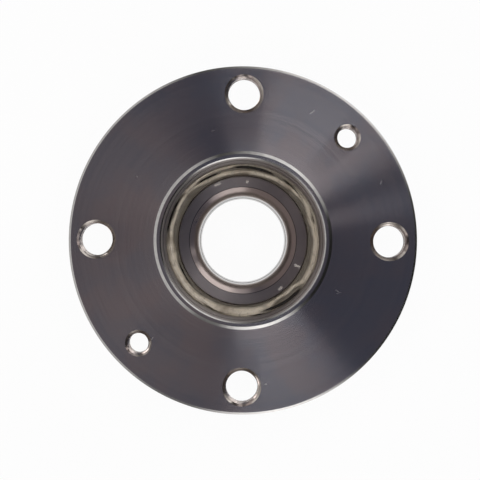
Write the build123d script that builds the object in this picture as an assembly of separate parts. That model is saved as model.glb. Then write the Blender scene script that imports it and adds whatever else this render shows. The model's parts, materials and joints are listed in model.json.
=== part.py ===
from build123d import *
import os
from math import cos, radians, sin, sqrt, tan

# Wheel hub bearing: a double-row angular contact ball bearing whose outer ring carries the wheel.
# The two inner rings stay on the stub axle, and the flanged outer ring turns round them.
# Millimetres. The Z axis is the spin axis and points to the wheel, and z = 0 is the inboard face
# of the inner rings. "Outward" means away from the joint between the two inner rings.

# Axle and inner rings
axle_bore_diameter = 30.0
inner_wall = 3.55  # from the bore to the bottom of the inner raceway
inner_shoulder_height = 3.25  # of the high side, above the raceway bottom
inner_lip_height = 0.25  # of the low side, which the balls snap over
bore_lead_width = 3.2  # of the cone that leads into the bore, in radius
bore_lead_angle = 20  # of that cone, from the face
bore_corner_radius = 3.0
inner_edge_radius = 0.3
joint_bevel = 0.3  # where the two inner rings meet

# Balls and raceways
ball_diameter = 7.938  # 5/16 inch
balls_per_row = 14
contact_angle = 38.0  # degrees from the plane of the row
race_conformity = 0.52  # raceway radius as a share of the ball diameter
race_clearance = 0.02  # between a ball and each raceway, along the contact line
row_offset = 11.3  # from the inner rings' joint to the ball centres

# Cages, one crown of prongs for each row
pocket_clearance = 0.2
cage_cover = 0.931  # of the rim past the ball, outward
cage_inner_gap = 0.6  # to the inner ring's shoulder
cage_outer_gap = 0.4  # to the outer ring
prong_reach = 3.0  # past the ball centres, towards the joint
claw_slot_width = 0.9
claw_slot_depth = 1.2

# Outer ring with its flange and spigot
outer_lip_height = 0.35  # which keeps the balls in before the inner rings go in
outer_shoulder_height = 2.1
barrel_wall = 6.2  # outside the raceway bottom
barrel_end_bevel = 1.0
flange_thickness = 9.0
flange_root_radius = 5.0
flange_edge = 9.25  # from the bolt circle out to the rim
rim_bevel = 0.75
spigot_height = 16.0
spigot_wall = 2.41
spigot_outer_bevel = 1.0
spigot_inner_bevel = 0.4
spigot_foot_radius = 0.5
cap_seat_step = 0.4  # the seat is this much wider in radius than the bore under it
cap_seat_depth = 12.0
ring_recess = 10.0  # of the outboard inner ring's face behind the flange's face
cage_recess = 4.3  # of the outboard cage's rim behind that ring's face

# Threaded holes, all on one circle
bolt_circle = 98.0
bolt_count = 4
bolt_thread = 12.0
bolt_pitch = 1.25
bolt_mouth = 13.0
locator_thread = 8.0
locator_pitch = 1.25
locator_mouth = 8.9
locator_angles = (45, 225)

# Inboard seal: a steel case with rubber lips in the outer ring, round a flinger on the inner ring
seal_width = 5.4
seal_gap = 1.0  # from the seal to the cage
seal_seat_step = 1.4  # the seat is this much wider in radius than the bore behind it
flinger_inset = 0.9
outer_ring_inset = 1.2
case_inset = 0.3  # of the case's edge behind the outer ring's end
sheet = 0.7  # thickness of both steel pressings
case_reach = 3.3  # of the case's wall in from the seat
flinger_sleeve = 4.1
flinger_gap = 0.6  # from the flinger's edge to the case
rubber_cover = 0.5
lip_clearance = 0.25
lip_thickness = 0.5

# Clip that keeps the two inner rings together until they are on the axle
clip_wall = 0.6
clip_bore_gap = 0.4  # the clip stays this far back from the bore
clip_hook_height = 0.5
clip_hook_width = 0.8
clip_half_length = 3.2
clip_slit = 2.0
clip_play = 0.1

# Grease
grease_depth = 0.9  # on the rim of the outboard cage
grease_fill_half_length = 2.5
grease_fill_depth = 3.3

# Radii, from the axle out
bore_radius = axle_bore_diameter / 2
ball_radius = ball_diameter / 2
race_radius = race_conformity * ball_diameter
race_shift = race_radius - ball_radius - race_clearance
race_shift_radial = race_shift * cos(radians(contact_angle))
race_shift_axial = race_shift * sin(radians(contact_angle))
inner_race_bottom = bore_radius + inner_wall
inner_groove_circle = inner_race_bottom + race_radius
inner_shoulder_radius = inner_race_bottom + inner_shoulder_height
inner_lip_radius = inner_race_bottom + inner_lip_height
pitch_radius = inner_groove_circle - race_shift_radial
outer_groove_circle = pitch_radius - race_shift_radial
outer_race_bottom = outer_groove_circle + race_radius
outer_bore_radius = outer_race_bottom - outer_lip_height
outer_shoulder_radius = outer_race_bottom - outer_shoulder_height
barrel_radius = outer_race_bottom + barrel_wall
cap_seat_radius = outer_bore_radius + cap_seat_step
spigot_radius = cap_seat_radius + spigot_wall
seal_seat_radius = outer_bore_radius + seal_seat_step
flange_radius = bolt_circle / 2 + flange_edge
clip_inside_radius = bore_radius + clip_bore_gap
clip_outside_radius = clip_inside_radius + clip_wall
hook_radius = clip_outside_radius + clip_hook_height
cage_inside_radius = inner_shoulder_radius + cage_inner_gap
cage_outside_radius = outer_bore_radius - cage_outer_gap
groove_at_prong_end = sqrt(race_radius**2 - (prong_reach + race_shift_axial) ** 2)
prong_outside_radius = outer_groove_circle + groove_at_prong_end - cage_outer_gap

# Heights, from the inboard face up
cage_reach = ball_radius + cage_cover
inboard_tail = flinger_inset + seal_width + seal_gap + cage_reach
outboard_tail = cage_reach + cage_recess
inboard_row = inboard_tail
joint = inboard_row + row_offset
outboard_row = joint + row_offset
ring_face = outboard_row + outboard_tail
flange_front = ring_face + ring_recess
flange_back = flange_front - flange_thickness
spigot_end = flange_front + spigot_height
cap_seat_floor = spigot_end - cap_seat_depth
seal_back = flinger_inset + seal_width
pitch_step = 360 / balls_per_row


def turned(corners, rounds=(), bevels=()):
    """Solid of revolution about Z from its (radius, height) corners, some of them rounded or bevelled."""
    section = make_face(Polyline(*corners, close=True))
    for corner, size in rounds:
        section = fillet(section.vertices().sort_by_distance(corner)[0], size)
    for corner, size in bevels:
        section = chamfer(section.vertices().sort_by_distance(corner)[0], size)
    return revolve(Plane.XZ * section, Axis.Z)


def block_ring(inside, outside, bottom, top):
    """Plain ring between two radii and two heights."""
    return turned([(inside, bottom), (outside, bottom), (outside, top), (inside, top)])


def outboard_side(piece, height):
    """Places a piece modelled with its outward side up."""
    return Pos(0, 0, height) * piece


def inboard_side(piece, height):
    """Places a piece modelled with its outward side up, with that side turned down."""
    return Pos(0, 0, height) * Rot(180, 0, 0) * piece


def threaded_hole(thread_diameter, pitch, mouth_diameter):
    """Cutter for a hole through the flange, from z = 0 up: two 45-degree mouths, and the 60-degree
    thread as separate ring grooves, at the pitch."""
    past = 1.0
    root = thread_diameter / 2
    crest = root - pitch * 5 / 8 * sin(radians(60))
    mouth = mouth_diameter / 2
    mouth_depth = mouth - crest
    turns = int((flange_thickness - 2 * mouth_depth) / pitch)
    first_turn = (flange_thickness - turns * pitch) / 2
    wall = [(mouth + past, -past), (crest, mouth_depth)]
    for turn in range(turns):
        start = first_turn + turn * pitch
        wall.append((crest, start + pitch / 8))
        wall.append((root, start + pitch * 7 / 16))
        wall.append((root, start + pitch * 9 / 16))
        wall.append((crest, start + pitch * 7 / 8))
    wall.append((crest, flange_thickness - mouth_depth))
    wall.append((mouth + past, flange_thickness + past))
    return turned([(0, -past), *wall, (0, flange_thickness + past)])


def hub_flange():
    """Outer ring, wheel flange and spigot in one forging, with both raceways and the threaded holes."""
    outboard_groove = outboard_row + race_shift_axial
    inboard_groove = inboard_row - race_shift_axial
    spigot_mouth = (cap_seat_radius, spigot_end)
    spigot_edge = (spigot_radius, spigot_end)
    spigot_foot = (spigot_radius, flange_front)
    rim_front = (flange_radius, flange_front)
    rim_back = (flange_radius, flange_back)
    flange_root = (barrel_radius, flange_back)
    barrel_end = (barrel_radius, outer_ring_inset)
    seal_mouth = (seal_seat_radius, outer_ring_inset)
    corners = [
        spigot_mouth,
        spigot_edge,
        spigot_foot,
        rim_front,
        rim_back,
        flange_root,
        barrel_end,
        seal_mouth,
        (seal_seat_radius, seal_back),
        (outer_bore_radius, seal_back),
        (outer_bore_radius, inboard_groove),
        (outer_shoulder_radius, inboard_groove),
        (outer_shoulder_radius, outboard_groove),
        (outer_bore_radius, outboard_groove),
        (outer_bore_radius, cap_seat_floor),
        (cap_seat_radius, cap_seat_floor),
    ]
    rounds = [(flange_root, flange_root_radius), (spigot_foot, spigot_foot_radius)]
    bevels = [
        (rim_front, rim_bevel),
        (rim_back, rim_bevel),
        (barrel_end, barrel_end_bevel),
        (spigot_edge, spigot_outer_bevel),
        (spigot_mouth, spigot_inner_bevel),
        (seal_mouth, case_inset),
    ]
    hub = turned(corners, rounds, bevels)
    for height in (inboard_groove, outboard_groove):
        hub -= Pos(0, 0, height) * Torus(outer_groove_circle, race_radius)
    bolt_hole = threaded_hole(bolt_thread, bolt_pitch, bolt_mouth)
    for number in range(bolt_count):
        hub -= Rot(0, 0, number * 360 / bolt_count) * Pos(bolt_circle / 2, 0, flange_back) * bolt_hole
    locator_hole = threaded_hole(locator_thread, locator_pitch, locator_mouth)
    for angle in locator_angles:
        hub -= Rot(0, 0, angle) * Pos(bolt_circle / 2, 0, flange_back) * locator_hole
    return hub


def inner_ring(tail):
    """One inner ring with its joint face at z = 0: raceway, high outward shoulder, low joint side and
    half of the clip's groove. The tail is what stands outward of the ball centres."""
    face = row_offset + tail
    groove = row_offset - race_shift_axial
    hook_outer = clip_half_length + clip_play
    hook_inner = clip_half_length - clip_hook_width - clip_play
    lead_drop = bore_lead_width * tan(radians(bore_lead_angle))
    bore_corner = (bore_radius, face - lead_drop)
    face_edge = (inner_shoulder_radius, face)
    joint_edge = (inner_lip_radius, 0)
    corners = [
        (clip_outside_radius, 0),
        joint_edge,
        (inner_lip_radius, groove),
        (inner_shoulder_radius, groove),
        face_edge,
        (bore_radius + bore_lead_width, face),
        bore_corner,
        (bore_radius, hook_outer),
        (hook_radius, hook_outer),
        (hook_radius, hook_inner),
        (clip_outside_radius, hook_inner),
    ]
    rounds = [(bore_corner, bore_corner_radius), (face_edge, inner_edge_radius)]
    ring = turned(corners, rounds, [(joint_edge, joint_bevel)])
    return ring - Pos(0, 0, groove) * Torus(inner_groove_circle, race_radius)


def inner_ring_clip():
    """Slit spring ring inside the joint of the inner rings, with a hook round each end."""
    hook_start = clip_half_length - clip_hook_width
    upper = [
        (clip_outside_radius, hook_start),
        (hook_radius, hook_start),
        (hook_radius, clip_half_length),
        (clip_inside_radius, clip_half_length),
    ]
    lower = [(radius, -height) for radius, height in reversed(upper)]
    clip = turned(upper + lower)
    slit = Pos(hook_radius, 0, 0) * Box(2 * hook_radius, clip_slit, 2 * joint)
    return Pos(0, 0, joint) * (clip - slit)


def row_places():
    """Ball centres of one row, in the plane z = 0."""
    return [Rot(0, 0, number * pitch_step) * Pos(pitch_radius, 0, 0) for number in range(balls_per_row)]


def cage():
    """Crown cage with the ball centres at z = 0: an outward rim, and prongs that split into two claws."""
    corners = [
        (cage_inside_radius, -prong_reach),
        (prong_outside_radius, -prong_reach),
        (prong_outside_radius, ball_radius / 2),
        (cage_outside_radius, ball_radius * 3 / 4),
        (cage_outside_radius, cage_reach),
        (cage_inside_radius, cage_reach),
    ]
    crown = turned(corners)
    pocket = Sphere(ball_radius + pocket_clearance)
    for place in row_places():
        crown -= place * pocket
    slot = Box(4 * ball_radius, claw_slot_width, 2 * claw_slot_depth)
    for place in row_places():
        crown -= Rot(0, 0, pitch_step / 2) * place * Pos(0, 0, -prong_reach) * slot
    return crown


def seal_case():
    """Pressed steel case of the inboard seal: a sleeve in the outer ring and a wall in towards the axle."""
    edge = outer_ring_inset + case_inset
    inside = seal_seat_radius - sheet
    corners = [
        (seal_seat_radius, edge),
        (seal_seat_radius, seal_back),
        (seal_seat_radius - case_reach, seal_back),
        (seal_seat_radius - case_reach, seal_back - sheet),
        (inside, seal_back - sheet),
        (inside, edge),
    ]
    return turned(corners)


def seal_flinger():
    """Pressed steel ring on the inboard inner ring: a sleeve, and a plate that covers the seal."""
    plate_edge = seal_seat_radius - sheet - flinger_gap
    sleeve_outside = inner_shoulder_radius + sheet
    corners = [
        (inner_shoulder_radius, flinger_inset),
        (plate_edge, flinger_inset),
        (plate_edge, flinger_inset + sheet),
        (sleeve_outside, flinger_inset + sheet),
        (sleeve_outside, flinger_inset + flinger_sleeve),
        (inner_shoulder_radius, flinger_inset + flinger_sleeve),
    ]
    inside_corner = (inner_shoulder_radius, flinger_inset)
    return turned(corners, [(inside_corner, sheet / 2)])


def seal_lip():
    """Rubber on the case: a cover on its wall, a lip in to the flinger's sleeve and one down to its plate."""
    case_inside = seal_seat_radius - sheet
    wall_edge = seal_seat_radius - case_reach
    wall_face = seal_back - sheet
    cover_face = wall_face - rubber_cover
    rubber_edge = wall_edge - rubber_cover
    sleeve_outside = inner_shoulder_radius + sheet
    sleeve_tip = sleeve_outside + lip_clearance
    plate_tip = flinger_inset + sheet + lip_clearance
    lip_root = (wall_edge + case_inside) / 2
    corners = [
        (case_inside, wall_face),
        (wall_edge, wall_face),
        (wall_edge, seal_back),
        (rubber_edge, seal_back),
        (sleeve_tip, cover_face + lip_thickness / 2),
        (sleeve_tip, cover_face - lip_thickness / 2),
        (rubber_edge + lip_thickness, cover_face),
        (lip_root - lip_thickness, cover_face),
        (lip_root, plate_tip),
        (lip_root + lip_thickness, plate_tip),
        (lip_root + lip_thickness, cover_face),
        (case_inside, cover_face),
    ]
    return turned(corners)


def outboard_grease():
    """Grease that lies on the rim of the outboard cage."""
    bottom = outboard_row + cage_reach
    return block_ring(cage_inside_radius, cage_outside_radius, bottom, bottom + grease_depth)


def centre_grease():
    """Grease that clings to the outer ring between the rows."""
    inside = outer_shoulder_radius - grease_fill_depth
    return block_ring(
        inside, outer_shoulder_radius, joint - grease_fill_half_length, joint + grease_fill_half_length
    )


os.makedirs("parts", exist_ok=True)
pieces = {
    "hub_flange": hub_flange(),
    "outboard_inner_ring": outboard_side(inner_ring(outboard_tail), joint),
    "inboard_inner_ring": inboard_side(inner_ring(inboard_tail), joint),
    "inner_ring_clip": inner_ring_clip(),
    "outboard_cage": outboard_side(cage(), outboard_row),
    "inboard_cage": inboard_side(cage(), inboard_row),
    "seal_case": seal_case(),
    "seal_lip": seal_lip(),
    "seal_flinger": seal_flinger(),
    "outboard_grease": outboard_grease(),
    "centre_grease": centre_grease(),
}
for number, place in enumerate(row_places(), start=1):
    ball = place * Sphere(ball_radius)
    pieces[f"outboard_ball_{number:02d}"] = outboard_side(ball, outboard_row)
    pieces[f"inboard_ball_{number:02d}"] = inboard_side(ball, inboard_row)

for name, piece in pieces.items():
    export_step(piece, f"parts/{name}.step")
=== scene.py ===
# %% [markdown]
# # A wheel hub bearing, dressed piece by piece
# The part is a double-row ball bearing whose outer ring is also the wheel hub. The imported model
# already has every piece at its real size, so Blender's job is the look: crisp turned edges, real
# threads, a rubber lip, grease, and steels that catch the light as turned and ground steel do.
# Everything is in metres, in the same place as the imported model.

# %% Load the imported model
import json
from math import atan2, cos, degrees, pi, radians, sin, sqrt

import bpy
import bmesh
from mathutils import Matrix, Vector


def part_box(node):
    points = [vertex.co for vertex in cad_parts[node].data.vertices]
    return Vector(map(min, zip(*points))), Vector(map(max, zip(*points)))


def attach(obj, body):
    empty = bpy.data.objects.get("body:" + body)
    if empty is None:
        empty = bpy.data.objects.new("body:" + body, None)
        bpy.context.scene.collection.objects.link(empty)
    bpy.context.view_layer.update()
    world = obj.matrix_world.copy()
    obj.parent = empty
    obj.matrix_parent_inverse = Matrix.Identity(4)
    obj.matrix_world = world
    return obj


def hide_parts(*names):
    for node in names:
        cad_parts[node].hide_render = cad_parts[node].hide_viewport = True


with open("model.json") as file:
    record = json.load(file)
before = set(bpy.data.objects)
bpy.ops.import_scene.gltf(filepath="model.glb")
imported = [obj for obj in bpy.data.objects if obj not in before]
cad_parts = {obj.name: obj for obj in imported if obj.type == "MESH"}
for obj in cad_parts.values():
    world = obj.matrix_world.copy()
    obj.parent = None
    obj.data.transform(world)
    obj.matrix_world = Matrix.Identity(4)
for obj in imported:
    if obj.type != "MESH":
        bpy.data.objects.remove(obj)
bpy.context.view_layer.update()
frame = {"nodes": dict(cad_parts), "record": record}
nodes = frame["nodes"]
mounts = {mount["name"]: mount for mount in frame["record"]["mounts"]}
MM = 0.001
print("pieces in the frame:", len(nodes))

# %% [markdown]
# ## Sizes
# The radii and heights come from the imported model: a mount states its radius, and a node's box
# gives its reach. Only the small edge sizes, which no box shows, are written here.

# %% Read the main sizes from the frame
def reach(node):
    """The outer radius of a round node."""
    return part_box(node)[1][0]


def bottom(node):
    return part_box(node)[0][2]


def top(node):
    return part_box(node)[1][2]


flange_radius = reach("hub_flange")
spigot_radius = mounts["wheel_spigot"]["dims"]["r_mm"] * MM
cap_seat_radius = mounts["cap_seat"]["dims"]["r_mm"] * MM
bore_radius = mounts["axle_bore"]["dims"]["r_mm"] * MM
bolt_circle_radius = mounts["wheel_bolts"]["dims"]["pcd_mm"] / 2 * MM
flange_front = mounts["wheel_face"]["pos_m"][2]
flange_thickness = 9 * MM
flange_back = flange_front - flange_thickness
spigot_end = top("hub_flange")
cap_seat_floor = spigot_end - 12 * MM
outer_ring_end = bottom("hub_flange")
ring_face = top("outboard_inner_ring")
joint = bottom("outboard_inner_ring")
shoulder_radius = reach("outboard_inner_ring")
cage_gap = 0.4 * MM
cage_outer = reach("outboard_cage")
outer_bore = cage_outer + cage_gap
seal_seat = reach("seal_case")
seal_back = top("seal_case")
barrel_radius = 32.787 * MM  # no box shows it, because the flange is wider
lead_width = 3.2 * MM  # of the cone that leads into the bore
cone_edge = bore_radius + lead_width
ball_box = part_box("outboard_ball_01")
ball_radius = (ball_box[1][2] - ball_box[0][2]) / 2
pitch_radius = ball_box[1][0] - ball_radius
rows = {
    "outboard": (ball_box[0][2] + ball_radius, 1),
    "inboard": (bottom("inboard_ball_01") + ball_radius, -1),
}
print("flange radius mm:", round(flange_radius / MM, 2), "ball radius mm:", round(ball_radius / MM, 3))

# %% [markdown]
# ## Shader maths as plain Python
# A finish is a network of small nodes. To keep it readable, `Value` wraps a socket so that
# `1 - mask` or `a * b + c` adds the Math nodes by itself, and `Finish.node` makes any other node.

# %% The two helper classes for materials
class Value:
    """One output socket. Arithmetic on it adds Math nodes."""

    def __init__(self, finish, socket):
        self.finish = finish
        self.socket = socket

    def math(self, operation, *others):
        return self.finish.node("ShaderNodeMath", dict(operation=operation), [self, *others])

    def __add__(self, other):
        return self.math("ADD", other)

    def __sub__(self, other):
        return self.math("SUBTRACT", other)

    def __mul__(self, other):
        return self.math("MULTIPLY", other)

    def __truediv__(self, other):
        return self.math("DIVIDE", other)

    def __rsub__(self, other):
        return self.finish.node("ShaderNodeMath", dict(operation="SUBTRACT"), [other, self])

    __radd__ = __add__
    __rmul__ = __mul__

    def within(self, low, high):
        """0 below low, 1 above high, and a smooth step between. It falls if low is above high."""
        return self.finish.node(
            "ShaderNodeMapRange", dict(interpolation_type="SMOOTHSTEP"), [self, low, high]
        )


class Finish:
    """A node material with one Principled shader."""

    def __init__(self, name, owner=None):
        self.material = owner or bpy.data.materials.new(name)
        self.material.use_nodes = True
        self.tree = self.material.node_tree
        self.tree.nodes.clear()

    def node(self, kind, settings=None, inputs=(), output=0):
        made = self.tree.nodes.new(kind)
        for name, value in (settings or {}).items():
            if name == "stops":
                self.set_stops(made.color_ramp, value)
            else:
                setattr(made, name, value)
        pairs = inputs.items() if isinstance(inputs, dict) else enumerate(inputs)
        for key, value in pairs:
            self.plug(made.inputs[key], value)
        return Value(self, made.outputs[output]) if made.outputs else None

    def plug(self, socket, value):
        if isinstance(value, Value):
            self.tree.links.new(value.socket, socket)
        elif value is not None:
            socket.default_value = value

    def set_stops(self, ramp, stops):
        """Stops are (position, colour) pairs, from left to right."""
        while len(ramp.elements) < len(stops):
            ramp.elements.new(1)
        for element, (place, colour) in zip(ramp.elements, stops):
            element.position = place
            element.color = (*colour, 1)

    def mix(self, factor, first, second):
        """The first colour where the factor is 0, and the second where it is 1."""
        colours = [(*c, 1) if isinstance(c, tuple) else c for c in (first, second)]
        names = {"Factor": factor, 6: colours[0], 7: colours[1]}
        return self.node("ShaderNodeMix", dict(data_type="RGBA"), names, output=2)

    def place(self):
        """X, Y and Z of the point, in metres."""
        spot = self.node("ShaderNodeTexCoord", output="Object")
        self.object_place = spot
        return [self.node("ShaderNodeSeparateXYZ", None, [spot], output=i) for i in range(3)]

    def combine(self, x, y, z):
        return self.node("ShaderNodeCombineXYZ", None, [x, y, z])

    def noise(self, where, scale, detail=2.0, roughness=0.5, distortion=0.0):
        inputs = {"Vector": where, "Scale": scale, "Detail": detail}
        inputs.update({"Roughness": roughness, "Distortion": distortion})
        return self.node("ShaderNodeTexNoise", None, inputs)

    def bump(self, height, depth, strength=1.0):
        """A normal from a height in units of depth, in metres."""
        inputs = {"Strength": strength, "Distance": depth, "Height": height}
        return self.node("ShaderNodeBump", None, inputs)

    def surface(self, **inputs):
        shader = self.node("ShaderNodeBsdfPrincipled")
        for name, value in inputs.items():
            if isinstance(value, tuple):
                value = (*value, 1)
            self.plug(shader.socket.node.inputs[name.replace("_", " ")], value)
        self.node("ShaderNodeOutputMaterial", None, {"Surface": shader})
        return self.material


# %% [markdown]
# ## Turned steel
# The hub is turned on a lathe, and the tool leaves fine grooves round the axis. They spread a
# highlight across the grooves only, so a flat face shows bright and dark sectors that meet at the
# centre. One number on the shader does that: Anisotropic, with no tangent linked, follows the
# piece's own Z axis. The grooves themselves are a fine bump that depends on the radius alone. The
# bore of the spigot has its own rougher steel, because a boring bar leaves deeper lines, and the
# bevels and threads are cut fresh and shine without a lay round the axis. Image textures would need
# a very large picture to hold grooves this fine, so the patterns are worked out from the place.

# %% Lathe grooves and the hub's finish
def lathe_lines(finish, x, y, z, spacing):
    """Noise that changes along the profile and hardly round the axis, about one line each spacing."""
    radius = (x * x + y * y).math("SQRT")
    along = finish.combine(radius / spacing, z / spacing, 0)
    return radius, finish.noise(along, 1.0, detail=3.0, roughness=0.65)


def nick(finish, x, y, centre, length, angle, width):
    """A short scratch: 1 on it and 0 beside it."""
    turn = radians(angle)
    dx, dy = x - centre[0], y - centre[1]
    along = (dx * cos(turn) + dy * sin(turn)).math("ABSOLUTE")
    across = (dy * cos(turn) - dx * sin(turn)).math("ABSOLUTE")
    return along.within(length / 2, length / 4) * across.within(width, width / 3)


def nicks_of(finish, x, y, table, width):
    """All the nicks in a table as one mask."""
    total = None
    for (across, up), length, angle in table:
        one = nick(finish, x, y, (across * MM, up * MM), length * MM, angle, width)
        total = one if total is None else total + one
    return total.math("MINIMUM", 1.0)


GROOVE_DEPTH = 0.004 * MM
GROOVE_LEAN = 3.5  # degrees
FACE_NICKS = [
    # centre in mm from the axis, length in mm, angle in degrees
    ((22.8, 43.0), 2.4, 35),
    ((32.2, -17.3), 2.2, 12),
    ((31.6, -16.6), 1.6, -35),
    ((46.0, 19.8), 1.5, 70),
    ((-10.2, 36.6), 1.2, 20),
    ((-35.5, 21.0), 1.0, -50),
    ((-30.0, -33.0), 1.4, 60),
    ((8.0, -48.0), 1.1, 10),
]


def turned_steel():
    finish = Finish("turned_steel")
    x, y, z = finish.place()
    radius, lines = lathe_lines(finish, x, y, z, 0.00022)
    bands = lathe_lines(finish, x, y, z, 0.0016)[1]
    feed = lathe_lines(finish, x, y, z, 0.0006)[1]
    spots = finish.noise(finish.object_place, 60.0, detail=4.0)
    nicks = nicks_of(finish, x, y, FACE_NICKS, 0.12 * MM)
    nicks = nicks * z.within(flange_front - 0.2 * MM, flange_front - 0.1 * MM)
    # the forging's own skin is left in the root of the flange, where no tool reaches
    forged = radius.within(33.5 * MM, 34.3 * MM) * radius.within(40.5 * MM, 39.5 * MM)
    forged = forged * z.within(flange_back + 0.4 * MM, flange_back - 0.2 * MM)
    pits = finish.noise(finish.object_place, 900.0, detail=5.0, roughness=0.7)
    tint = finish.mix(spots.within(0.38, 0.62), (0.60, 0.538, 0.538), (0.505, 0.51, 0.55))
    tint = finish.mix(bands.within(0.3, 0.75) * 0.5, tint, (0.62, 0.59, 0.59))
    tint = finish.mix(feed.within(0.42, 0.72) * 0.45, tint, (0.42, 0.40, 0.405))
    tint = finish.mix(nicks, tint, (0.95, 0.93, 0.9))
    tint = finish.mix(forged * 0.9, tint, (0.10, 0.085, 0.075))
    rough = 0.19 + lines * 0.04 + bands * 0.04 + nicks * 0.2 + forged * 0.3
    # each groove is steeper on its inner flank, which leans the face's normal outwards a little
    lean = radius * (sin(radians(GROOVE_LEAN)) / GROOVE_DEPTH)
    height = lines * 0.25 - lean - nicks * 3.0 + forged * (pits * 14.0 - 7.0)
    return finish.surface(
        Base_Color=tint,
        Metallic=1.0,
        Roughness=rough,
        Anisotropic=0.93,
        Anisotropic_Rotation=0.25,
        Normal=finish.bump(height, GROOVE_DEPTH),
    )


def bright_cut_steel(name, bright, dark, roughness):
    """Steel fresh from a sharp tool, with no lay round the hub's axis: bevels and threads."""
    finish = Finish(name)
    finish.place()
    marks = finish.noise(finish.object_place, 700.0, detail=3.0)
    return finish.surface(
        Base_Color=finish.mix(marks.within(0.35, 0.65), bright, dark),
        Metallic=1.0,
        Roughness=roughness + marks * 0.06,
        Normal=finish.bump(marks, 0.000004),
    )


def bored_steel():
    """A bore's feed lines are deeper than a face's, so they spread light further along the wall."""
    finish = Finish("bored_steel")
    x, y, z = finish.place()
    radius, lines = lathe_lines(finish, x, y, z, 0.00025)
    bands = lathe_lines(finish, x, y, z, 0.002)[1]
    return finish.surface(
        Base_Color=finish.mix(bands.within(0.3, 0.7), (0.59, 0.542, 0.507), (0.49, 0.457, 0.43)),
        Metallic=1.0,
        Roughness=0.50 + lines * 0.06 + bands * 0.04,
        Anisotropic=0.9,
        Anisotropic_Rotation=0.25,
        Normal=finish.bump(lines, 0.000001),
    )


steel_turned = turned_steel()
steel_bevel = bright_cut_steel("bevelled_steel", (0.62, 0.60, 0.58), (0.56, 0.54, 0.53), 0.09)
steel_bored = bored_steel()
steel_thread = bright_cut_steel("tapped_steel", (0.78, 0.71, 0.65), (0.60, 0.54, 0.49), 0.17)
print("nicks on the flange:", len(FACE_NICKS))

# %% [markdown]
# ## Ground steel, balls and the small pressings
# The inner rings are hardened and ground, so their lines are finer, and a warm film of old oil
# tints the cone and the rounding that lead into the bore. A thin dark line at the cone's edge is
# painted shade. A few smears of dried grease lie on the face, and one more light patch there is a
# painted highlight for the shine of the grease beside it. They are not metal, so the mask that tints
# them also takes Metallic away. The seal's case and flinger are bright sheet, and the clip is strip.

# %% Finishes of the inner rings, balls, sheet and strip
FACE_SMEARS_AND_HIGHLIGHT = [
    # centre in mm from the axis, length in mm, angle in degrees
    ((-8.7, 19.0), 3.0, 25),
    ((18.5, -8.54), 2.8, -20),
    # this one is a painted highlight: a light patch where the grease beside the face shines
    ((12.9, -16.2), 2.2, 40),
    ((1.3, 19.9), 1.2, 80),
]


def ground_steel():
    finish = Finish("ground_steel")
    x, y, z = finish.place()
    radius, lines = lathe_lines(finish, x, y, z, 0.00015)
    film = finish.noise(finish.object_place, 110.0, detail=4.0, distortion=0.4)
    # the cone is warmer, and a thin dark line of painted shade marks where it meets the face
    corner = radius.within(cone_edge + 0.05 * MM, cone_edge - 0.05 * MM)
    corner = corner * radius.within(bore_radius, bore_radius + 0.2 * MM)
    tint = finish.mix(film.within(0.3, 0.75), (0.71, 0.665, 0.655), (0.61, 0.575, 0.58))
    tint = finish.mix(corner * 0.85, tint, (0.70, 0.60, 0.54))
    # painted shade: a near-black ring stands for the shade at the cone's sharp edge
    edge = radius.within(cone_edge - 0.18 * MM, cone_edge - 0.08 * MM)
    edge = edge * radius.within(cone_edge + 0.14 * MM, cone_edge + 0.04 * MM)
    tint = finish.mix(edge * 0.85, tint, (0.05, 0.045, 0.045))
    crumbs = finish.noise(finish.object_place, 1400.0, detail=3.0)
    # smears of dried grease, with one painted highlight among them
    smears_and_highlight = nicks_of(finish, x, y, FACE_SMEARS_AND_HIGHLIGHT, 0.55 * MM) * crumbs.within(0.34, 0.52)
    tint = finish.mix(smears_and_highlight, tint, (0.50, 0.46, 0.41))
    bore = radius.within(bore_radius + 0.2 * MM, bore_radius)
    tint = finish.mix(bore, tint, (0.62, 0.61, 0.60))
    rough = 0.40 + lines * 0.06 + film * 0.08 - bore * 0.22 - corner * 0.18
    return finish.surface(
        Base_Color=tint,
        Metallic=1 - smears_and_highlight * 0.85,
        Roughness=rough,
        Anisotropic=0.85,
        Anisotropic_Rotation=0.25,
        Coat_Weight=film.within(0.45, 0.8) * 0.3,
        Coat_Roughness=0.2,
        Normal=finish.bump(lines, 0.0000015),
    )


def plain_steel(name, bright, dark, roughness, grain):
    """Steel with a faint mottle: bright and dark tints, and the grain's size in metres."""
    finish = Finish(name)
    finish.place()
    mottle = finish.noise(finish.object_place, 1 / grain, detail=4.0)
    return finish.surface(
        Base_Color=finish.mix(mottle.within(0.3, 0.7), bright, dark),
        Metallic=1.0,
        Roughness=roughness + mottle * 0.1,
        Normal=finish.bump(mottle, grain * 0.004),
    )


steel_ground = ground_steel()
steel_ball = plain_steel("ball_steel", (0.74, 0.73, 0.72), (0.66, 0.65, 0.64), 0.05, 0.004)
steel_sheet = plain_steel("pressed_steel", (0.64, 0.63, 0.61), (0.54, 0.53, 0.52), 0.22, 0.0015)
steel_strip = plain_steel("spring_steel", (0.42, 0.42, 0.44), (0.33, 0.33, 0.35), 0.30, 0.001)
print("smears on the inner ring's face:", len(FACE_SMEARS_AND_HIGHLIGHT))

# %% [markdown]
# ## Rubber, cage plastic and grease
# The lip is matt black rubber with a fine moulded skin. The cages are glass-filled nylon, which
# looks like pale straw with faint flow marks. Grease is the one wet surface. Thick grease is cream,
# lower grease is painted darker and the lowest nearly black, as painted shade in its valleys, slits
# and the gap at the inner ring, and a clear coat gives the shine.

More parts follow.
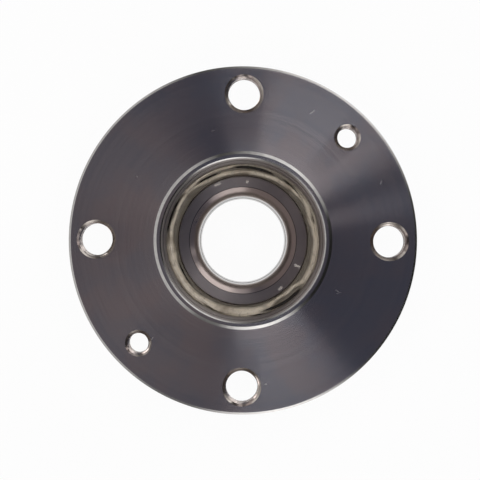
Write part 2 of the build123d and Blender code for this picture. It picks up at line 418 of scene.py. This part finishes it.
# %% Finishes of rubber, plastic and grease
def seal_rubber():
    finish = Finish("seal_rubber")
    finish.place()
    skin = finish.noise(finish.object_place, 2500.0, detail=3.0)
    dust = finish.noise(finish.object_place, 160.0, detail=3.0).within(0.5, 0.8)
    return finish.surface(
        Base_Color=finish.mix(dust, (0.012, 0.012, 0.013), (0.035, 0.033, 0.03)),
        Roughness=0.5 + skin * 0.2 + dust * 0.1,
        Normal=finish.bump(skin, 0.00002),
    )


def cage_nylon():
    finish = Finish("cage_plastic")
    finish.place()
    fibres = finish.noise(finish.object_place, 1800.0, detail=2.0, distortion=1.5)
    flow = finish.noise(finish.object_place, 220.0, detail=3.0)
    return finish.surface(
        Base_Color=finish.mix(flow.within(0.3, 0.7), (0.50, 0.43, 0.26), (0.40, 0.34, 0.20)),
        Roughness=0.42 + fibres * 0.15,
        Normal=finish.bump(fibres, 0.00002),
    )


def bearing_grease():
    finish = Finish("grease")
    x, y, z = finish.place()
    low = bottom("outboard_grease")
    # painted shade: the lowest grease, in the slits and in the gap at the inner ring, is painted
    # nearly black
    painted_deep_shade = z.within(low + 0.55 * MM, low + 0.1 * MM) * z.within(low - 0.3 * MM, low)
    # painted shade: grease less than about 1.5 mm deep is painted darker, for the shade in its valleys
    film = z.within(low + 1.55 * MM, low + 0.5 * MM) * z.within(low - 0.3 * MM, low)
    folds = finish.noise(finish.object_place, 260.0, detail=3.0, distortion=0.8)
    thick = finish.noise(finish.object_place, 150.0, detail=3.0)
    streaks = finish.noise(finish.object_place, 420.0, detail=3.0, distortion=1.5)
    tint = finish.mix(thick.within(0.46, 0.72), (0.93, 0.835, 0.68), (0.52, 0.44, 0.34))
    tint = finish.mix(streaks.within(0.52, 0.74) * 0.4, tint, (0.34, 0.29, 0.225))
    tint = finish.mix(film * 0.88, tint, (0.115, 0.098, 0.078))
    tint = finish.mix(painted_deep_shade, tint, (0.022, 0.019, 0.014))
    return finish.surface(
        Base_Color=tint,
        Roughness=0.14 + folds * 0.16,
        Coat_Weight=1.0,
        Coat_Roughness=0.10,
        Coat_IOR=1.8,
        Normal=finish.bump(folds, 0.0007, 0.9),
    )


rubber = seal_rubber()
nylon = cage_nylon()
grease = bearing_grease()
print("finishes:", rubber.name, nylon.name, grease.name)

# %% [markdown]
# ## From an outline to a turned piece
# On a lathe, a piece is its half outline turned round the axis, and it is made here the same way.
# A plane is merged to one vertex, that vertex is extruded from corner to corner, the outline's
# corners are rounded with a vertex bevel, and a full spin makes the solid.

# %% Helpers that model with operators
def edit_only(piece):
    """Selects one object alone and opens it in edit mode."""
    if bpy.context.object and bpy.context.object.mode != "OBJECT":
        bpy.ops.object.mode_set(mode="OBJECT")
    bpy.ops.object.select_all(action="DESELECT")
    piece.select_set(True)
    bpy.context.view_layer.objects.active = piece
    bpy.ops.object.mode_set(mode="EDIT")


def object_mode():
    bpy.ops.object.mode_set(mode="OBJECT")


def pick_vertices(piece, wanted):
    """Selects the vertices that wanted(place) is true for. The piece is in edit mode."""
    mesh = bmesh.from_edit_mesh(piece.data)
    bpy.ops.mesh.select_mode(type="VERT")
    bpy.ops.mesh.select_all(action="DESELECT")
    for vertex in mesh.verts:
        vertex.select = wanted(vertex.co)
    mesh.select_flush(True)
    bmesh.update_edit_mesh(piece.data)


def draw_outline(name, corners, rounds=()):
    """A closed outline in the XZ plane, from (radius, height) corners. A round is (corner, size,
    segments), and one segment makes it a plain bevel."""
    bpy.ops.object.select_all(action="DESELECT")
    bpy.ops.mesh.primitive_plane_add(size=0.001, location=(0, 0, 0))
    piece = bpy.context.object
    piece.name = piece.data.name = name
    edit_only(piece)
    bpy.ops.mesh.select_all(action="SELECT")
    bpy.ops.mesh.merge(type="CENTER")
    start = corners[0]
    bpy.ops.transform.translate(value=(start[0], 0, start[1]))
    for before, after in zip(corners, corners[1:]):
        step = (after[0] - before[0], 0, after[1] - before[1])
        bpy.ops.mesh.extrude_region_move(TRANSFORM_OT_translate={"value": step})
    bpy.ops.mesh.select_all(action="SELECT")
    bpy.ops.mesh.edge_face_add()
    for corner, size, segments in rounds:
        spot = Vector((corner[0], 0, corner[1]))
        pick_vertices(piece, lambda place: (place - spot).length < 0.000002)
        bpy.ops.mesh.bevel(offset=size, affect="VERTICES", segments=segments, clamp_overlap=False)
    bpy.ops.mesh.select_all(action="SELECT")
    bpy.ops.mesh.delete(type="ONLY_FACE")
    return piece


def spin_solid(piece, steps=256):
    """Turns the open outline into a closed solid round Z."""
    bpy.ops.mesh.select_all(action="SELECT")
    bpy.ops.mesh.spin(steps=steps, angle=2 * pi, center=(0, 0, 0), axis=(0, 0, 1))
    bpy.ops.mesh.select_all(action="SELECT")
    bpy.ops.mesh.remove_doubles(threshold=0.000001)
    bpy.ops.mesh.normals_make_consistent(inside=False)
    object_mode()
    return piece


def finish_piece(piece, material, body, replaced=(), angle=30):
    """Smooth shading up to an angle, one material, and the piece's place in the frame."""
    bpy.ops.object.select_all(action="DESELECT")
    piece.select_set(True)
    bpy.context.view_layer.objects.active = piece
    bpy.ops.object.shade_smooth_by_angle(angle=radians(angle))
    if not piece.data.materials:
        piece.data.materials.append(material)
    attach(piece, body)
    if replaced:
        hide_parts(*replaced)
    print(piece.name, "faces:", len(piece.data.polygons))


def turned_piece(name, corners, rounds, material, body, node, steps=256, angle=30):
    piece = spin_solid(draw_outline(name, corners, rounds), steps)
    finish_piece(piece, material, body, [node], angle)
    return piece


def arc(centre, radius, start, end, points):
    """Points on an arc in the outline's plane. Angles in degrees, 0 away from the axis."""
    turns = [radians(start + (end - start) * i / (points - 1)) for i in range(points)]
    return [(centre[0] + radius * cos(a), centre[1] + radius * sin(a)) for a in turns]


def cut(piece, tool):
    """Takes the tool's shape out of the piece, and deletes the tool."""
    bpy.context.view_layer.objects.active = piece
    modifier = piece.modifiers.new("cut", "BOOLEAN")
    modifier.operation = "DIFFERENCE"
    modifier.solver = "EXACT"
    modifier.object = tool
    modifier.material_mode = "TRANSFER"
    bpy.ops.object.modifier_apply(modifier=modifier.name)
    bpy.data.objects.remove(tool)


# %% [markdown]
# ## The raceways
# Each raceway is an arc a little larger than the ball. The outer ring's arc sits towards the joint
# and the inner ring's away from it, so the line through each ball leans, and the bearing can take
# a load along the axle as well.

# %% Sizes of the raceways
race_radius = 0.52 * 2 * ball_radius
race_shift = race_radius - ball_radius - 0.02 * MM
contact = radians(38)
outer_groove = pitch_radius - race_shift * cos(contact)
inner_groove = pitch_radius + race_shift * cos(contact)
outer_land = outer_groove + race_radius - 2.1 * MM
inner_land = inner_groove - race_radius + 0.25 * MM


def race_points(groove_radius, height, first_land, last_land, side):
    """The raceway between two lands. Side is 1 in the outer ring and -1 in the inner ring, and the
    arc runs upwards."""
    ends = []
    for land, way in ((first_land, -1), (last_land, 1)):
        across = abs(land - groove_radius)
        ends.append(way * degrees(atan2(sqrt(race_radius**2 - across**2), across)))
    points = arc((0, 0), race_radius, ends[0], ends[1], 17)
    return [(groove_radius + side * px, height + pz) for px, pz in points]


print("outer and inner lands mm:", round(outer_land / MM, 2), round(inner_land / MM, 2))

# %% [markdown]
# ## The hub: outer ring, flange and spigot
# This is the largest piece, and all of it is one forging turned on a lathe. Its outline runs from
# the spigot's mouth over the flange and down the barrel, round the seal's seat, and back up through
# both raceways. Every edge gets the bevel that a lathe hand would give it.

# %% Draw and spin the hub
def hub_outline():
    inboard_z = rows["inboard"][0] - race_shift * sin(contact)
    outboard_z = rows["outboard"][0] + race_shift * sin(contact)
    lower_race = race_points(outer_groove, inboard_z, outer_bore, outer_land, 1)
    upper_race = race_points(outer_groove, outboard_z, outer_land, outer_bore, 1)
    return [
        (cap_seat_radius, spigot_end),
        (spigot_radius, spigot_end),
        (spigot_radius, flange_front),
        (flange_radius, flange_front),
        (flange_radius, flange_back),
        (barrel_radius, flange_back),
        (barrel_radius, outer_ring_end),
        (seal_seat, outer_ring_end),
        (seal_seat, seal_back),
        (outer_bore, seal_back),
        *lower_race,
        *upper_race,
        (outer_bore, cap_seat_floor),
        (cap_seat_radius, cap_seat_floor),
    ]


hub_rounds = [
    ((cap_seat_radius, spigot_end), 0.4 * MM, 1),
    ((spigot_radius, spigot_end), 1.0 * MM, 1),
    ((spigot_radius, flange_front), 0.5 * MM, 5),
    ((flange_radius, flange_front), 0.75 * MM, 1),
    ((flange_radius, flange_back), 0.75 * MM, 1),
    ((barrel_radius, flange_back), 5.0 * MM, 12),
    ((barrel_radius, outer_ring_end), 1.0 * MM, 1),
    ((seal_seat, outer_ring_end), 0.3 * MM, 1),
]
hub = spin_solid(draw_outline("hub_forging", hub_outline(), hub_rounds), 288)
for material in (steel_turned, steel_bevel, steel_bored, steel_thread):
    hub.data.materials.append(material)
for face in hub.data.polygons:
    radius = sqrt(face.center.x**2 + face.center.y**2)
    if 0.5 < abs(face.normal.z) < 0.9 and not barrel_radius < radius < barrel_radius + 5 * MM:
        face.material_index = 1
    if radius < cap_seat_radius + 0.01 * MM:
        face.material_index = 2
print("hub before drilling:", len(hub.data.polygons), "faces")

# %% [markdown]
# ## Drilling, countersinking and tapping
# Four wheel-bolt holes and two locating holes go through the flange. A drill the size of the
# thread's crests is made first, with a countersink at each end. The thread is a helix: a small
# wedge-shaped outline, swept by a Screw modifier, cuts its groove into the wall.

# %% Make the six threaded holes
def drill(radius, mouth):
    """A closed cutter, wider at both faces of the flange, standing at the origin."""
    past = 1.0 * MM
    depth = mouth - radius
    corners = [
        (0, -past),
        (mouth + past, -past),
        (radius, depth),
        (radius, flange_thickness - depth),
        (mouth + past, flange_thickness + past),
        (0, flange_thickness + past),
    ]
    piece = spin_solid(draw_outline("drill", corners), 64)
    piece.data.materials.append(steel_thread)
    return piece


def tap(crest, root, pitch):
    """A helical wedge that cuts a 60-degree groove from the crest radius out to the root radius."""
    inside = crest - 0.1 * MM
    half_inside = pitch * 3 / 8 + 0.1 * MM * sin(radians(30))
    half_root = pitch / 16
    corners = [(inside, -half_inside), (root, -half_root), (root, half_root), (inside, half_inside)]
    piece = draw_outline("tap", corners)
    object_mode()
    screw = piece.modifiers.new("thread", "SCREW")
    screw.screw_offset = pitch
    screw.iterations = int(flange_thickness / pitch) + 3
    screw.steps = screw.render_steps = 48
    screw.axis = "Z"
    screw.use_merge_vertices = False
    bpy.context.view_layer.objects.active = piece
    bpy.ops.object.modifier_apply(modifier=screw.name)
    edit_only(piece)
    bpy.ops.mesh.select_all(action="DESELECT")
    bpy.ops.mesh.select_non_manifold()
    bpy.ops.mesh.edge_face_add()
    bpy.ops.mesh.select_all(action="SELECT")
    bpy.ops.mesh.normals_make_consistent(inside=False)
    bpy.ops.transform.translate(value=(0, 0, -1.5 * pitch))
    object_mode()
    piece.data.materials.append(steel_thread)
    return piece


def move_mesh(piece, place, turn):
    """Moves and turns the mesh itself, so that the object stays at the origin."""
    edit_only(piece)
    bpy.ops.mesh.select_all(action="SELECT")
    bpy.ops.transform.translate(value=place)
    bpy.ops.transform.rotate(value=-turn, orient_axis="Z", center_override=(0, 0, 0))
    object_mode()


bolt_holes = [(angle, 12 * MM, 13.0 * MM, "wheel_bolts") for angle in (0, 90, 180, 270)]
locator_holes = [(angle, 8 * MM, 8.9 * MM, "locating_screws") for angle in (45, 225)]
for angle, thread, mouth, mount in bolt_holes + locator_holes:
    crest = mounts[mount]["dims"]["hole_r_mm"] * MM
    for tool in (drill(crest, mouth / 2), tap(crest, thread / 2, 1.25 * MM)):
        move_mesh(tool, (bolt_circle_radius, 0, flange_back), radians(angle))
        cut(hub, tool)
finish_piece(hub, steel_turned, "wheel_hub", ["hub_flange"], angle=28)

# %% [markdown]
# ## The inner rings
# The bearing's inside is split in two so that the balls can be put in. Each ring has a tall
# shoulder on the outside and a low one at the joint, a shallow cone and a large rounding that lead
# into the bore, and half of a groove for the clip.

# %% Draw and spin both inner rings
clip_radius = reach("inner_ring_clip")
clip_half = (top("inner_ring_clip") - bottom("inner_ring_clip")) / 2
hook_outer = clip_half + 0.1 * MM
hook_inner = clip_half - 0.9 * MM
lead_angle, corner_radius = radians(20), 3.0 * MM
lead_drop = lead_width * sin(lead_angle) / cos(lead_angle)
corner_reach = corner_radius * sin((pi / 2 - lead_angle) / 2) / cos((pi / 2 - lead_angle) / 2)
clip_flank = clip_radius - 0.5 * MM


def inner_ring(row, face):
    """Makes one ring. Heights are counted from the joint, towards the ring's own face."""
    height, side = rows[row]
    groove_z = abs(height - joint) - race_shift * sin(contact)
    tall = abs(face - joint)
    race = race_points(inner_groove, groove_z, inner_land, shoulder_radius, -1)
    corners = [
        (clip_flank, 0),
        (inner_land, 0),
        *race,
        (shoulder_radius, tall),
        (bore_radius + lead_width, tall),
        (bore_radius, tall - lead_drop),
        (bore_radius, hook_outer),
        (clip_radius, hook_outer),
        (clip_radius, hook_inner),
        (clip_flank, hook_inner),
    ]
    rounds = [
        ((shoulder_radius, tall), 0.3 * MM, 6),
        ((bore_radius, tall - lead_drop), corner_reach, 14),
        ((inner_land, 0), 0.3 * MM, 1),
    ]
    corners = [(r, joint + side * z) for r, z in corners]
    rounds = [((r, joint + side * z), size, count) for (r, z), size, count in rounds]
    node = f"{row}_inner_ring"
    name = f"{row}_race_ring"
    body, slot = "axle_side", "ground_steel"
    return turned_piece(name, corners, rounds, steel_ground, body, node, angle=15)


inner_ring("outboard", ring_face)
inner_ring("inboard", 0.0)

# %% [markdown]
# ## The inboard seal
# Two rings of thin sheet face each other: the case, pressed into the outer ring, and the flinger,
# pressed on the inner ring. Bent sheet has round corners on both sides, so each bend gets a small
# inside and a large outside radius. The rubber is bonded to the case and ends in two soft lips.

# %% Draw and spin the seal's three pieces
sheet = 0.7 * MM
bend = 0.25 * MM
case_edge = bottom("seal_case")
case_inner = seal_seat - 3.3 * MM
flinger_face = bottom("seal_flinger")
flinger_edge = reach("seal_flinger")
flinger_top = top("seal_flinger")
sleeve = shoulder_radius + sheet
turned_piece(
    "seal_case_pressing",
    [
        (seal_seat, case_edge),
        (seal_seat, seal_back),
        (case_inner, seal_back),
        (case_inner, seal_back - sheet),
        (seal_seat - sheet, seal_back - sheet),
        (seal_seat - sheet, case_edge),
    ],
    [
        ((seal_seat, seal_back), bend + sheet * 0.8, 6),
        ((seal_seat - sheet, seal_back - sheet), bend, 4),
        ((seal_seat - sheet, case_edge), 0.15 * MM, 2),
    ],
    steel_sheet, "wheel_hub", "seal_case", 192,
)
turned_piece(
    "seal_flinger_pressing",
    [
        (shoulder_radius, flinger_face),
        (flinger_edge, flinger_face),
        (flinger_edge, flinger_face + sheet),
        (sleeve, flinger_face + sheet),
        (sleeve, flinger_top),
        (shoulder_radius, flinger_top),
    ],
    [
        ((shoulder_radius, flinger_face), bend + sheet * 0.8, 6),
        ((sleeve, flinger_face + sheet), bend, 4),
        ((flinger_edge, flinger_face), 0.2 * MM, 3),
        ((flinger_edge, flinger_face + sheet), 0.15 * MM, 2),
    ],
    steel_sheet, "axle_side", "seal_flinger", 192,
)
cover = seal_back - sheet - 0.5 * MM
lip_root = (case_inner + seal_seat - sheet) / 2
lip_tip = flinger_face + sheet + 0.25 * MM
turned_piece(
    "seal_rubber_lips",
    [
        (seal_seat - sheet, seal_back - sheet),
        (case_inner, seal_back - sheet),
        (case_inner, seal_back),
        (case_inner - 0.5 * MM, seal_back),
        (sleeve + 0.25 * MM, cover + 0.15 * MM),
        (sleeve + 0.25 * MM, cover - 0.25 * MM),
        (case_inner, cover),
        (lip_root - 0.45 * MM, cover),
        (lip_root + 0.1 * MM, lip_tip),
        (lip_root + 0.5 * MM, lip_tip),
        (lip_root + 0.45 * MM, cover),
        (seal_seat - sheet, cover),
    ],
    [
        ((case_inner - 0.5 * MM, seal_back), 0.3 * MM, 4),
        ((sleeve + 0.25 * MM, cover - 0.25 * MM), 0.1 * MM, 2),
        ((lip_root - 0.45 * MM, cover), 0.3 * MM, 4),
        ((lip_root + 0.1 * MM, lip_tip), 0.12 * MM, 3),
        ((lip_root + 0.5 * MM, lip_tip), 0.12 * MM, 3),
        ((lip_root + 0.45 * MM, cover), 0.3 * MM, 4),
    ],
    rubber, "wheel_hub", "seal_lip", 192,
)

# %% [markdown]
# ## Grease
# Grease is pushed about by the cage and the balls, so its top is never flat. Here it is a ring with
# many points round and across. One table gives the crest that runs round it and the lip at the outer
# wall, and a second table gives the slits, where the grease has drawn apart and its finish paints the
# low grease dark as painted shade. A few sine waves make both wander. A sculpted mesh would look as
# good, but a table can be read and changed.

# %% Model the grease
def wander(turn, *waves):
    """A smooth value that wanders round the ring. A wave is (times round, size, phase in degrees)."""
    return sum(size * sin(times * turn + radians(phase)) for times, size, phase in waves)


def around(table, turn):
    """Values between the rows of a table whose first column is an angle, smoothly and endlessly."""
    angle = degrees(turn) % 360
    closed = table + [(table[0][0] + 360, *table[0][1:])]
    for before, after in zip(closed, closed[1:]):
        if before[0] <= angle <= after[0]:
            share = (angle - before[0]) / (after[0] - before[0])
            share = share * share * (3 - 2 * share)
            return [a + (b - a) * share for a, b in zip(before[1:], after[1:])]


def grease_ring(name, inside, outside, low, shape, body, node):
    """A ring of grease. shape(turn, across) gives its top, in metres over low."""
    bpy.ops.object.select_all(action="DESELECT")
    bpy.ops.mesh.primitive_grid_add(x_subdivisions=480, y_subdivisions=48, size=1)
    piece = bpy.context.object
    piece.name = piece.data.name = name
    for vertex in piece.data.vertices:
        turn = (vertex.co.x + 0.5) * 2 * pi
        share = vertex.co.y + 0.5
        radius = inside + (outside - inside) * share
        vertex.co = (radius * cos(turn), radius * sin(turn), low + shape(turn, share))
    edit_only(piece)
    bpy.ops.mesh.select_all(action="SELECT")
    bpy.ops.mesh.remove_doubles(threshold=0.00001)
    bpy.ops.mesh.select_all(action="DESELECT")
    bpy.ops.mesh.select_non_manifold()
    bpy.ops.mesh.extrude_region_move(TRANSFORM_OT_translate={"value": (0, 0, 0)})
    bpy.ops.transform.resize(value=(1, 1, 0), center_override=(0, 0, 0))
    bpy.ops.transform.translate(value=(0, 0, low))
    bpy.ops.mesh.select_all(action="DESELECT")
    bpy.ops.mesh.select_non_manifold()
    bpy.ops.mesh.bridge_edge_loops()
    bpy.ops.mesh.select_all(action="SELECT")
    bpy.ops.mesh.normals_make_consistent(inside=False)
    object_mode()
    finish_piece(piece, grease, body, [node], angle=60)
    return piece


CREST_OUTWARD = 0.15  # mm, added to every radius in the table
CREST = [
    # angle, radius of the crest, half its width, its height, height of the lip at the wall, in mm
    (0, 24.9, 1.1, 1.1, 0.4), (10, 24.5, 1.1, 1.1, 0.4), (17, 23.9, 0.9, 1.8, 0.6),
    (24, 24.5, 1.0, 1.0, 0.4), (33, 24.7, 0.9, 0.9, 0.4), (45, 24.2, 0.8, 0.9, 0.3),
    (60, 23.5, 0.8, 1.1, 0.2), (78, 23.3, 0.8, 1.5, 0.2), (92, 23.3, 0.8, 1.4, 0.4),
    (105, 23.4, 0.8, 1.0, 1.9), (120, 23.4, 0.8, 0.6, 2.1), (133, 24.6, 0.8, 0.6, 1.6),
    (147, 24.8, 0.8, 0.8, 0.4), (160, 24.5, 0.7, 0.9, 0.0), (175, 24.5, 0.8, 1.0, 0.1),
    (191, 24.6, 1.5, 1.9, 0.3), (207, 24.6, 1.2, 1.5, 0.4), (225, 24.8, 1.4, 2.2, 0.9),
    (240, 24.5, 1.3, 1.5, 0.4), (258, 24.7, 1.7, 1.6, 0.7), (275, 24.5, 1.6, 1.2, 0.5),
    (290, 23.9, 1.0, 0.9, 0.2), (303, 23.0, 0.7, 1.3, 0.0), (316, 23.2, 0.7, 1.0, 0.0),
    (328, 24.9, 1.0, 1.3, 0.4), (342, 25.1, 1.2, 1.7, 0.6),
]
SLITS = [
    # angle of the middle, half the length in degrees, radius, half the width, and depth in mm
    (83, 19, 25.1, 0.50, 1.0), (121, 13, 24.6, 0.35, 0.9), (45, 13, 24.8, 0.30, 0.7),
    (247, 9, 25.8, 0.40, 1.0), (281, 8, 26.0, 0.30, 0.8), (304, 18, 25.5, 0.60, 1.1),
    (156, 22, 25.9, 0.55, 0.8), (8, 16, 24.9, 0.25, 0.4), (212, 16, 23.2, 0.30, 0.5),
]


def fold(distance, width):
    """A rounded ridge, 1 on its line and 0 beyond its width."""
    return max(0.0, 1 - (distance / width) ** 2) ** 1.5


def apart(turn, angle):
    """Degrees between a direction and an angle, from -180 to 180."""
    return (degrees(turn) - angle + 180) % 360 - 180


def cage_grease(turn, share):
    radius = (grease_inside + (grease_outside - grease_inside) * share) / MM
    place, half, height, lip = around(CREST, turn)
    place += CREST_OUTWARD + wander(turn, (13, 0.08, 20), (23, 0.05, 140))
    height += wander(turn, (17, 0.12, 80), (31, 0.07, 10))
    film = 0.55 + wander(turn + radius, (11, 0.06, 0), (19, 0.04, 60))
    ridge = height * fold(radius - place, half * 1.3)
    edge = lip * fold(radius - 25.7, 0.8)
    top = film + max(ridge, edge) + 0.3 * min(ridge, edge)
    for angle, length, slit, width, depth in SLITS:
        off = apart(turn, angle) / length
        slit += 0.25 * off
        top -= depth * fold(off, 1) ** 0.5 * fold(radius - slit, width)
    rise = min(1.0, (radius - grease_inside / MM) / 0.45)
    return (0.05 + max(0.0, top) * rise) * MM


grease_inside, grease_outside = shoulder_radius + 0.05 * MM, outer_bore - 0.05 * MM
grease_low = bottom("outboard_grease")
grease_ring(
    "cage_grease_ring", grease_inside, grease_outside, grease_low, cage_grease,
    "outboard_cage_set", "outboard_grease",
)


def middle_grease(turn, share):
    return (4.2 + wander(turn, (3, 0.3, 0), (8, 0.2, 70))) * MM * (0.35 + 0.65 * share)


middle_low = bottom("centre_grease")
grease_ring(
    "middle_grease_ring", outer_land - 3.3 * MM, outer_land - 0.01 * MM, middle_low, middle_grease,
    "wheel_hub", "centre_grease",
)

# %% [markdown]
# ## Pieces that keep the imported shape
# The balls, both cages and the clip already have their true shape, and they lie inside, so they
# only get their finishes.

# %% Give the remaining nodes their finishes
kept = {"outboard_cage": nylon, "inboard_cage": nylon, "inner_ring_clip": steel_strip}
kept.update({name: steel_ball for name in nodes if "_ball_" in name})
for name, material in kept.items():
    mesh = nodes[name].data
    mesh.materials.clear()
    mesh.materials.append(material)
print("nodes with a new finish:", len(kept))

# %% [markdown]
# ## Camera
# The view is straight down the axle, from the wheel's side, with a long lens so that the bore shows
# only a thin ring of its wall. A very small roll and shift set the hub as it should lie in the frame.

# %% Place the camera
frame_pixels = 480
flange_radius_pixels = 174.4
camera_distance = 0.55
camera = bpy.data.objects.new("camera", bpy.data.cameras.new("camera"))
bpy.context.scene.collection.objects.link(camera)
camera.location = (0, 0, flange_front + camera_distance)
camera.rotation_euler = (0, 0, radians(0.47))
camera.data.sensor_width = 36
focal_pixels = flange_radius_pixels / flange_radius * camera_distance
camera.data.lens = focal_pixels * camera.data.sensor_width / frame_pixels
camera.data.shift_x = -2.9 / frame_pixels
camera.data.shift_y = 0.4 / frame_pixels
camera.data.clip_start = 0.01
bpy.context.scene.camera = camera
print("lens mm:", round(camera.data.lens, 1))

# %% [markdown]
# ## The floor
# The floor is near white for the camera and for what steel mirrors, by mixing a white glow into its
# paint for those rays. The share of paint that is left takes the object's shadow. Towards the rim the
# glow takes over, so that no edge shows against the white world.

# %% The floor
def ray_kind(finish, kind):
    return finish.node("ShaderNodeLightPath", output=f"Is {kind} Ray")


def floor_material():
    finish = Finish("studio_floor")
    seen = ray_kind(finish, "Camera").math("MAXIMUM", ray_kind(finish, "Transmission"))
    seen = seen.math("MAXIMUM", ray_kind(finish, "Glossy"))
    paint = finish.node("ShaderNodeBsdfDiffuse", None, {"Color": (0.86, 0.86, 0.86, 1)})
    glow = finish.node("ShaderNodeEmission", None, {"Color": (1, 1, 1, 1), "Strength": 1.0})
    # towards its rim the floor turns into the world's white, so that no edge shows
    x, y, _ = finish.place()
    outward = (x * x + y * y).math("SQRT").within(0.14, 0.34)
    both = finish.node("ShaderNodeMixShader", None, [seen * (outward * 0.05 + 0.95), paint, glow])
    finish.node("ShaderNodeOutputMaterial", None, {"Surface": both})
    return finish.material


bpy.ops.object.select_all(action="DESELECT")
bpy.ops.mesh.primitive_circle_add(vertices=128, radius=0.35, fill_type="NGON", location=(0, 0, 0))
floor = bpy.context.object
floor.name = "studio_floor"
floor.data.materials.append(floor_material())
print("floor radius mm:", round(floor.dimensions.x / 2 / MM))

# %% [markdown]
# ## The walls and the ceiling
# Turned steel shows the room it is in, so the light is mostly a room: a pale wall all round with
# brighter panels, a dark gap on one side, and a ceiling that is dark on one half and paler on the
# other. A colour ramp over the compass direction makes the wall. The camera sees plain white instead,
# and so does glass. Mirrored rays see white below the foot of the walls only, because above it they
# need the room: a white room would turn every bevel into one flat grey.

# %% The walls, as the world
WALL = [
    # direction in degrees from +X, and brightness
    (0, 0.02), (15, 0.05), (27, 0.40), (38, 0.8), (52, 1.1), (74, 0.9), (86, 0.4), (98, 0.12),
    (106, 0.08), (116, 0.4), (126, 0.6), (160, 0.62), (205, 0.66), (228, 0.54), (240, 0.2),
    (254, 0.2), (266, 0.95), (280, 1.6), (294, 1.3), (304, 0.6), (312, 0.1), (322, 0.02), (360, 0.02),
]
PALE_CEILING = (0.19, 0.165, 0.168)
DARK_CEILING = (0.062, 0.064, 0.086)
PALE_SIDE = radians(195)


def studio_walls():
    world = bpy.data.worlds.new("studio")
    bpy.context.scene.world = world
    finish = Finish("studio", owner=world)
    spot = finish.node("ShaderNodeTexCoord", output="Generated")
    x, y, z = [finish.node("ShaderNodeSeparateXYZ", None, [spot], output=i) for i in range(3)]
    direction = y.math("ARCTAN2", x) / (2 * pi) + 1.0
    direction = direction.math("FRACT")
    brightest = max(brightness for _, brightness in WALL)
    stops = [(angle / 360, (b / brightest,) * 3) for angle, b in WALL]
    wall = finish.node("ShaderNodeValToRGB", dict(stops=stops), [direction])
    below_ceiling = z.within(0.55, 0.25)
    ceilings = (PALE_CEILING, DARK_CEILING)
    pale, dark = [tuple(shade / brightest for shade in colour) for colour in ceilings]
    towards_pale = x * cos(PALE_SIDE) + y * sin(PALE_SIDE)
    ceiling = finish.mix(towards_pale.within(0.0, 0.30), dark, pale)
    light = finish.mix(below_ceiling, ceiling, wall)
    room = finish.node("ShaderNodeBackground", None, {"Color": light, "Strength": brightest})
    white = finish.node("ShaderNodeBackground", None, {"Color": (1, 1, 1, 1), "Strength": 1.0})
    below_walls = z.within(-0.17, -0.23)
    seen = ray_kind(finish, "Camera").math("MAXIMUM", ray_kind(finish, "Transmission"))
    seen = seen.math("MAXIMUM", ray_kind(finish, "Glossy") * below_walls)
    both = finish.node("ShaderNodeMixShader", None, [seen, room, white])
    finish.node("ShaderNodeOutputWorld", None, {"Surface": both})


studio_walls()
print("places along the wall:", len(WALL))

# %% [markdown]
# ## The soft boxes
# Each lamp is a soft box that hangs in a direction and at a height, and faces the hub. The key and
# the cross lamp make the two broad bright sectors on the flange, and each of them also lights the
# cone of the inner ring on the opposite side. The side lamps hang low, so that the spigot hides them
# from that cone. The fill hangs overhead and isn't mirrored: it only lightens grease and rubber.

# %% The soft boxes
SOFT_BOXES = [
    # name, direction in degrees, height in degrees, width, depth, brightness, colour
    ("key", 54, 48, 0.36, 0.24, 1.5, (1.0, 0.96, 0.965)),
    ("beside_key", 86, 48, 0.16, 0.24, 0.6, (1.0, 0.96, 0.965)),
    ("cross", 284, 48, 0.24, 0.24, 1.2, (1.0, 0.96, 0.965)),
    ("side", 146, 21, 0.40, 0.20, 1.45, (1.0, 0.93, 0.95)),
    ("back", 212, 21, 0.30, 0.20, 1.1, (1.0, 0.93, 0.95)),
    ("first_strip", 14, 48, 0.05, 0.24, 0.7, (1.0, 0.95, 0.97)),
    ("second_strip", 305, 48, 0.05, 0.24, 0.8, (1.0, 0.95, 0.99)),
    ("fill", 0, 90, 0.40, 0.40, 4.4, (1.0, 1.0, 1.0)),
]
box_distance = 0.62
target = Vector((0, 0, flange_front))
for name, direction, height, width, depth, brightness, colour in SOFT_BOXES:
    turn, lift = radians(direction), radians(height)
    lamp = bpy.data.objects.new(name, bpy.data.lights.new(name, "AREA"))
    bpy.context.scene.collection.objects.link(lamp)
    lamp.data.shape = "RECTANGLE"
    lamp.data.size, lamp.data.size_y = width, depth
    lamp.data.energy = brightness * pi * width * depth
    lamp.data.color = colour
    way = Vector((cos(turn) * cos(lift), sin(turn) * cos(lift), sin(lift)))
    lamp.location = target + way * box_distance
    lamp.rotation_mode = "QUATERNION"
    lamp.rotation_quaternion = way.to_track_quat("Z", "Y")
    lamp.visible_glossy = name != "fill"
bpy.context.scene.view_settings.view_transform = "Standard"
print("soft boxes:", len(SOFT_BOXES))
